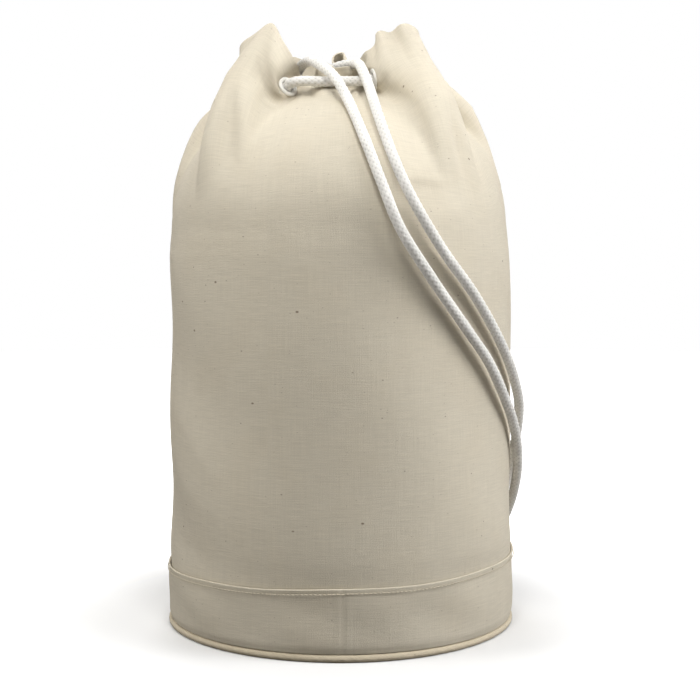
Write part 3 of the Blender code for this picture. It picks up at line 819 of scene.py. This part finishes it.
def cloth_grid(name, points, width, heights, mat, holes=(), wrap=True, start=0.0):
    """A mesh from a grid of rows; its UV map "cloth" is the cut cloth in metres."""
    rows, cols = points.shape[:2]
    faces = grid_faces(rows, cols, wrap_cols=wrap)
    j, i = np.divmod(np.arange(len(faces)), cols if wrap else cols - 1)
    step = width / cols
    u_mid, v_mid = (i + 0.5) * step, (heights[j] + heights[j + 1]) / 2
    keep = np.ones(len(faces), bool)
    for hu, hv, radius in holes:
        du = (u_mid - hu + width / 2) % width - width / 2
        keep &= np.hypot(du, v_mid - hv) > radius
    mesh = smooth_mesh(name, points.reshape(-1, 3), faces[keep])
    i, j = i[keep], j[keep]
    corners = np.stack([np.stack([start + (i + a) * step, heights[j + b]], -1)
                        for a, b in ((0, 0), (1, 0), (1, 1), (0, 1))], 1).reshape(-1, 2)
    layer = mesh.uv_layers.new(name="cloth")
    layer.data.foreach_set("uv", corners.astype(np.float32).ravel())
    return link(name, mesh, mat)


def thicken(obj, thick, offset=-1.0, round_edges=True):
    """Gives the sheet its thickness, as part of its mesh."""
    mod = obj.modifiers.new("thickness", "SOLIDIFY")
    mod.thickness, mod.offset, mod.use_even_offset = thick, offset, False
    if round_edges:
        bevel = obj.modifiers.new("edge", "BEVEL")
        bevel.width, bevel.segments, bevel.limit_method = thick * 0.3, 2, "ANGLE"
        bevel.angle_limit = math.radians(60)
    graph = bpy.context.evaluated_depsgraph_get()
    mesh = bpy.data.meshes.new_from_object(obj.evaluated_get(graph))
    obj.modifiers.clear()
    obj.data = mesh
    mesh.shade_smooth()


WALL_BLEND = 0.046  # the filled wall runs into the settled cloth over this
WALL_ROWS, FINER = 84, 2
HOLE_R = 0.0056


def wall_points(turn, heights):
    """Points of the filled wall, dents included, for a row of angles at each height."""
    radius = np.array([wall_radius(h) for h in heights])[:, None] - dent(turn, heights[:, None])
    return polar(radius, turn, heights[:, None])


def ring_turns(count, start=0.0):
    """One row of angles all the way round."""
    return start + 2 * math.pi * np.arange(count)[None, :] / count


def build_bag(canvas, rope_points):
    """The canvas tube in one sheet: a shaped wall below, settled cloth above."""
    heights = np.linspace(SIM_BOTTOM, CLOTH_HEIGHT, SIM_ROWS)
    lines = [start_column(i * KEY_COUNT / SIM_COLS, heights) for i in range(SIM_COLS)]
    start = np.array([[list(line[j]) for line in lines] for j in range(SIM_ROWS)])
    settled = relax_cloth(start, heights, rope_points)
    turn = ring_turns(SIM_COLS, key_angle(0))
    share = np.clip((heights - SIM_BOTTOM) / WALL_BLEND, 0, 1)[:, None, None]
    share = share * share * (3 - 2 * share)
    settled = wall_points(turn, heights) * (1 - share) + settled * share
    top = finer(settled, FINER, False)
    top = finer(top.transpose(1, 0, 2), FINER, True).transpose(1, 0, 2)
    top_heights = np.linspace(SIM_BOTTOM, CLOTH_HEIGHT, len(top))
    low_heights = np.linspace(WALL_BOTTOM, SIM_BOTTOM, WALL_ROWS)[:-1]
    low = wall_points(ring_turns(SIM_COLS * FINER, key_angle(0)), low_heights)
    heights = np.concatenate([low_heights, top_heights])
    circle = 2 * math.pi * BODY_R
    holes = [(k * circle / EYELET_COUNT, CLOTH_HEIGHT - EYELET_DROP, HOLE_R)
             for k in range(EYELET_COUNT)]
    bag = cloth_grid("bag_cloth", np.vstack([low, top]), circle, heights, canvas, holes)
    thicken(bag, CANVAS_THICK)
    return bag


def band_top(turn):
    """The band's upper edge runs a little uphill to the right and wanders with the seam."""
    return (BAND_TOP + 0.0045 * np.cos(turn) + 0.0007 * np.sin(3 * turn + 1.0)
            + 0.0004 * np.sin(7 * turn))


def build_band(canvas, thread):
    """The second layer of canvas round the foot, with its lapped seam and row of stitches."""
    cols, rows = 420, 34
    tall = BAND_TOP - WALL_BOTTOM
    turn = ring_turns(cols, FRONT_SEAM)
    share = np.linspace(0, 1, rows)[:, None]
    z = WALL_BOTTOM + (band_top(turn) - WALL_BOTTOM) * share
    soft = (0.0007 * (np.sin(5 * turn + 40 * z) * np.sin(2 * turn - 70 * z + 2))
            + 0.0004 * np.sin(11 * turn + 90 * z + 1))
    soft = soft * np.sin(math.pi * share)
    gap = np.abs((turn - FRONT_SEAM + math.pi) % (2 * math.pi) - math.pi) * BODY_R
    seam = -0.0004 * np.exp(-(gap / 0.0011) ** 2) + 0.0002 * np.exp(-((gap - 0.003) / 0.002) ** 2)
    fold = 0.0005 * np.exp(-((1 - share) * tall / 0.0022) ** 2)
    tuck = -0.0012 * np.exp(-(share * tall / 0.003) ** 2)
    radius = BAND_R + 0.0001 + soft + seam + fold + tuck
    heights = np.linspace(WALL_BOTTOM, BAND_TOP, rows)
    band = cloth_grid("lower_band_cloth", polar(radius, turn, z), 2 * math.pi * BODY_R, heights,
                      canvas, start=1.3)
    thicken(band, BAND_THICK)
    stitches = []
    half = STITCH_LENGTH / 2 / BODY_R
    for i in range(int(2 * math.pi * BODY_R / STITCH_PITCH)):
        t = i * STITCH_PITCH / BODY_R
        ends = [Vector(polar(BAND_R + 0.0008, a, band_top(a) - 0.0032))
                for a in (t - half, t + half)]
        stitches.append((*ends, spoke(t)))
    return band, stitch_mesh("band_stitches", stitches, thread)


def stitch_mesh(name, stitches, mat):
    """Short raised stitches, each lying from one point to another and bowed outwards."""
    points, faces = [], []
    steps = [j / 4 for j in range(5)]
    bows = [math.sin(math.pi * s) for s in steps]
    for a, b, out in stitches:
        across = (b - a).normalized().cross(out).normalized()
        middles = [a.lerp(b, s) + out * (STITCH_R * 0.9 * bow - STITCH_R * 0.4)
                   for s, bow in zip(steps, bows)]
        add_tube(points, faces, middles, [STITCH_R * (0.45 + 0.55 * bow) for bow in bows],
                 across, out, 6)
    return link(name, smooth_mesh(name, points, faces), mat)


def lathe(name, profile, place, mat, steps=56):
    """Turns a closed profile of (radius, height) about the axis of a placing matrix."""
    points = [place @ Vector((r * math.cos(t), r * math.sin(t), h))
              for r, h in profile for t in (2 * math.pi * i / steps for i in range(steps))]
    faces = grid_faces(len(profile), steps, wrap_rows=True)
    return link(name, smooth_mesh(name, points, faces), mat)


def arc(cx, cy, rx, ry, start, end, count):
    """Points along part of an ellipse, for a profile."""
    return [(cx + rx * math.cos(a), cy + ry * math.sin(a))
            for a in np.radians(np.linspace(start, end, count))]


def build_eyelets(enamel):
    """Rolled enamel rings and their washers, one pair through each hole."""
    made = []
    ring = (arc(0.00610, 0.0002, 0.00165, 0.0016, 0, 180, 11)
            + [(0.0045, 0.0), (0.0045, -0.0018), (0.0052, -0.0019), (0.0052, 0.0001)])
    washer = arc(0.00625, -0.0015, 0.00125, 0.0009, 0, -180, 9) + [(0.0052, -0.00142)]
    for k in range(EYELET_COUNT):
        centre, side, up, out = eyelet_frame(k)
        place = Matrix((side, up, out)).transposed().to_4x4()
        place.translation = centre
        eyelet = lathe(f"ring_{k + 1}", ring, place, enamel)
        back = lathe(f"washer_{k + 1}", washer, place, enamel)
        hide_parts(f"eyelet_{k + 1}")
        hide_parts(f"eyelet_washer_{k + 1}")
        made += [eyelet, back]
    return made


def build_piping(bias):
    """The bias strip round its core; it kinks a little where it was joined."""
    cols, sides = 480, 20
    turn = ring_turns(cols)
    spin = 2 * math.pi * np.arange(sides)[:, None] / sides
    ring = PIPING_RING_R + 0.0003 * np.sin(4 * turn + 1)
    thick = PIPING_R * (1 - 0.035 * np.sin(90 * turn + 3 * spin) - 0.02 * np.sin(37 * turn))
    from_join = (turn - PIPING_JOIN + math.pi) % (2 * math.pi) - math.pi
    thick = thick * (1 + 0.10 * np.exp(-(from_join * BODY_R / 0.003) ** 2))
    height = np.maximum(PIPING_R + thick * np.sin(spin), 0.00005)
    points = polar(ring + thick * np.cos(spin), turn, height)
    heights = np.arange(sides + 1) * 2 * math.pi * PIPING_R / sides
    closed = np.concatenate([points, points[:1]])
    return cloth_grid("piping_roll", closed, 2 * math.pi * BODY_R, heights, bias)


def build_base(canvas):
    """The round bottom panel, flat on the floor with a faint sag between."""
    rings, cols = 26, 120
    radius = np.linspace(0.0005, BASE_EDGE, rings)[:, None]
    turn = ring_turns(cols)
    lift = 0.0011 + 0.0006 * np.sin(3 * turn + 60 * radius) * (radius / BASE_EDGE)
    points = polar(radius, turn, lift)[::-1].reshape(-1, 3)
    faces = grid_faces(rings, cols).tolist()
    faces.append(list(range((rings - 1) * cols, rings * cols)))
    panel = link("base_cloth", smooth_mesh("base_cloth", points, faces), canvas)
    layer = panel.data.uv_layers.new(name="cloth")
    for loop in panel.data.loops:
        co = panel.data.vertices[loop.vertex_index].co
        layer.data[loop.index].uv = (co.x + 3, co.y + 3)
    thicken(panel, 0.0008, 0.0, False)
    return panel


def build_strap_loop(canvas, thread):
    """A folded canvas tab sewn to the band at head and foot, standing off for the rope."""
    s = np.linspace(-1, 1, 60)
    across = np.linspace(-1, 1, 15)[None, :]
    bow = np.clip((1 - np.abs(s)) / 0.42, 0, 1)
    bow = bow * bow * (3 - 2 * bow)
    base = BAND_R + 0.0012
    off = bow[:, None] * STRAP_STAND + 0.0002 * across ** 2
    wide = STRAP_HALF_W / BODY_R
    points = polar(base + off + 0.0009, STRAP_TURN + across * wide,
                   (STRAP_Z + s * STRAP_HALF_L)[:, None])
    loop = cloth_grid("strap_loop_cloth", points, 0.020, 2.0 + s * 0.024, canvas, wrap=False)
    thicken(loop, 0.0015)
    r, stitches = base + 0.0011, []
    for end in (-1, 1):
        for edge in (-0.86, 0.86):
            for k in range(2):
                z0 = STRAP_Z + end * (STRAP_HALF_L - 0.0012 - 0.0022 * k)
                out = spoke(STRAP_TURN + edge * wide)
                stitches.append((out * r + Vector((0, 0, z0)),
                                 out * r + Vector((0, 0, z0 - end * 0.0018)), out))
        for k in range(6):
            t = STRAP_TURN + (-0.80 + 0.28 * k) * wide
            for drop in (0.0012, 0.0044):
                z0 = STRAP_Z + end * (STRAP_HALF_L - drop)
                stitches.append((Vector(polar(r, t, z0)), Vector(polar(r, t + 0.2 * wide, z0)),
                                 spoke(t)))
    return loop, stitch_mesh("strap_stitches", stitches, thread)


def build_knot(letter, tail, centre, cotton):
    """A wrapped stopper knot: the rope runs through a tight coil and ends in a short fray."""
    centre = np.array(centre) * MM
    last = np.array(tail[-1]) * MM
    axis = (centre - last) / np.linalg.norm(centre - last)
    _, (side,), (up,) = (v[:1] for v in path_frames(np.array([centre, centre + axis * 0.01])))
    turns, pitch, wide = 2.15, 0.0052, 0.0050
    t = np.linspace(0, 1, 150)
    wide = wide * np.clip(np.minimum(t, 1 - t) / 0.09, 0, 1) ** 0.5
    angle = 2 * math.pi * turns * t
    coil = (centre + axis * ((t - 0.5) * turns * pitch)[:, None]
            + side * (np.cos(angle) * wide)[:, None] + up * (np.sin(angle) * wide)[:, None])
    coil, _ = even_steps(coil, BRAID_STEP)
    wrap = braided_tube(f"knot_{letter}", coil, 0.0029, cotton)
    end, _ = even_steps(np.array([centre - axis * 0.0075, centre + axis * 0.012]), BRAID_STEP)
    core = braided_tube(f"rope_end_{letter}", end, 0.0032, cotton, loose=0.02)
    fray = build_fray(f"fray_{letter}", centre + axis * 0.0115, axis, side, up, cotton)
    return [wrap, core, fray]


def build_fray(name, start, axis, side, up, mat):
    """Loose yarns at the rope's cut end, spreading as they go."""
    points, faces = [], []
    spread = np.random.default_rng(5)
    steps = [j / 6 for j in range(7)]
    for _ in range(70):
        turn, out = spread.uniform(0, 2 * math.pi), 0.0030 * math.sqrt(spread.uniform(0, 1))
        lean = spread.uniform(0.1, 0.75)
        length = spread.uniform(0.004, 0.0085)
        curl = spread.uniform(-0.5, 0.5)
        thick = spread.uniform(0.00014, 0.0003)
        middles = []
        for s in steps:
            away = side * math.cos(turn + curl * s) + up * math.sin(turn + curl * s)
            middles.append(start + axis * (length * s * (1 - 0.25 * lean * s))
                           + away * (out + lean * length * 0.6 * s * s))
        add_tube(points, faces, middles, [thick * (1 - 0.7 * s) for s in steps], side, up, 5)
    return link(name, smooth_mesh(name, points, faces), mat)


# ---- stage ----
FLOOR_SEEN, FLOOR_LIT = (0.84, 0.85, 0.87, 1), (0.22, 0.215, 0.21, 1)
FLOOR_R = 2.6
# the world grows brighter towards some sides: axis, from, full at, how much
WORLD_SIDES = (("X", 0.35, 0.95, 0.36), ("X", -0.35, -0.95, 0.18), ("Y", 0.40, 0.95, 0.45))
# name, place, aim, size, strength, colour
LIGHTS = (
    ("key", (0.85, -0.45, 1.40), (0, 0, 0.3), 0.55, 4.7, (0.98, 0.99, 1.0)),
    ("top", (-0.30, -0.12, 1.6), (0, 0, 0.25), 0.9, 5.2, (0.985, 0.99, 1.0)),
    ("near", (0.02, -0.55, 0.95), (0, 0, 0.27), 0.35, 4.3, (1.0, 0.985, 0.95)),
    ("right", (1.2, -0.25, 0.60), (0, 0, 0.22), 0.6, 8.8, (1.0, 0.995, 0.99)),
    ("back", (-0.2, 1.3, 0.9), (0, 0, 0.2), 0.8, 8.0, (1, 1, 1)),
    ("left", (-1.3, -0.35, 0.9), (0, 0, 0.28), 0.7, 8.4, (1.0, 0.975, 0.925)),
)


def build_floor():
    """A pale floor that the camera sees paler than it shines on the bag."""
    mat, w, shader = new_material("floor_paint")
    seen = w.source("LightPath", "Is Camera Ray")
    reach = w.nodes.new("ShaderNodeVectorMath")
    reach.operation = "LENGTH"
    put(w.source("TexCoord", "Object"), reach.inputs[0])
    glow = w.between(reach.outputs["Value"], 0.145, 0.38, 0.0, 1.0)
    set_inputs(shader, Base_Color=w.mix(seen, FLOOR_LIT, FLOOR_SEEN), Roughness=0.8,
               Emission_Color=(1, 1, 1, 1), Emission_Strength=w.math("MULTIPLY", seen, glow))
    mesh = bpy.data.meshes.new("floor")
    mesh.from_pydata([(FLOOR_R * math.cos(t), FLOOR_R * math.sin(t), 0)
                      for t in (2 * math.pi * i / 96 for i in range(96))], [], [range(96)])
    link("floor", mesh, mat)


def build_world():
    """White where the camera sees it; for the bag a dim studio, brighter to the sides."""
    world = bpy.data.worlds.new("studio")
    bpy.context.scene.world = world
    world.use_nodes = True
    w = Wires(world.node_tree)
    xyz = w.split(w.source("TexCoord", "Generated"))
    seen = w.source("LightPath", "Is Camera Ray")
    level = w.between(xyz["Z"], -0.3, 0.9, 0.02, 0.08)
    for axis, start, full, most in WORLD_SIDES:
        level = w.math("ADD", level, w.between(xyz[axis], start, full, 0.0, most))
    tint = w.mix(seen, (1.0, 0.95, 0.87, 1.0), (1.0, 1.0, 1.0, 1.0))
    set_inputs(w.nodes["Background"], Color=tint, Strength=w.math("MAXIMUM", level, seen))


def area_light(name, place, aim, size, energy, colour):
    data = bpy.data.lights.new(name, "AREA")
    data.shape, data.size, data.energy, data.color = "DISK", size, energy, colour
    obj = bpy.data.objects.new(name, data)
    obj.location = place
    obj.rotation_euler = (Vector(aim) - Vector(place)).to_track_quat("-Z", "Y").to_euler()
    bpy.context.scene.collection.objects.link(obj)


# ---- put together ----
make_camera()
bpy.context.scene.view_settings.view_transform = "Standard"

ROUTE = [*TAIL_A[::-1], *STRAND_A[::-1], *OVER_MOUTH_A, *lacing_route(), *OVER_MOUTH_B,
         *STRAND_B, *TAIL_B]
rope_path, rope_length = even_steps(smooth_route(ROUTE, 0.0015), BRAID_STEP)
cotton = rope_material("rope_cotton")
rope = braided_tube("drawstring", rope_path, CORD_R, cotton, twist=0.25, loose=0.012)
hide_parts("drawcord", "shoulder_cord_a", "shoulder_cord_b", "cord_tail_a", "cord_tail_b")
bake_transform(rope)
knots = []
for letter, tail, centre in (("a", TAIL_A, KNOT_A), ("b", TAIL_B, KNOT_B)):
    parts = build_knot(letter, tail, centre, cotton)
    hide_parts(f"cord_knot_{letter}")
    knots += parts
for piece in knots:
    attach(piece, "root")

canvas = canvas_material("canvas")
thread = plain_material("thread", (0.66, 0.60, 0.48), 0.8)
bag = build_bag(canvas, rope_path[::3])
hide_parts("bag_body")
rings = build_eyelets(plain_material("white_enamel", (0.82, 0.81, 0.78), 0.34, 0.3, 0.00005))
band, band_stitches = build_band(canvas_material("band_canvas"), thread)
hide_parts("lower_band")
piping = build_piping(canvas_material("bias_canvas", math.radians(45), BIAS_CREAM))
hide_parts("piping_cover", "piping_core")
base = build_base(canvas)
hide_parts("base_panel")
loop, loop_stitches = build_strap_loop(canvas_material("loop_canvas"), thread)
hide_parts("strap_loop")
for piece in (bag, band, band_stitches, piping, base, loop, loop_stitches, *rings):
    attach(piece, "root")
build_floor()
build_world()
for light in LIGHTS:
    area_light(*light)
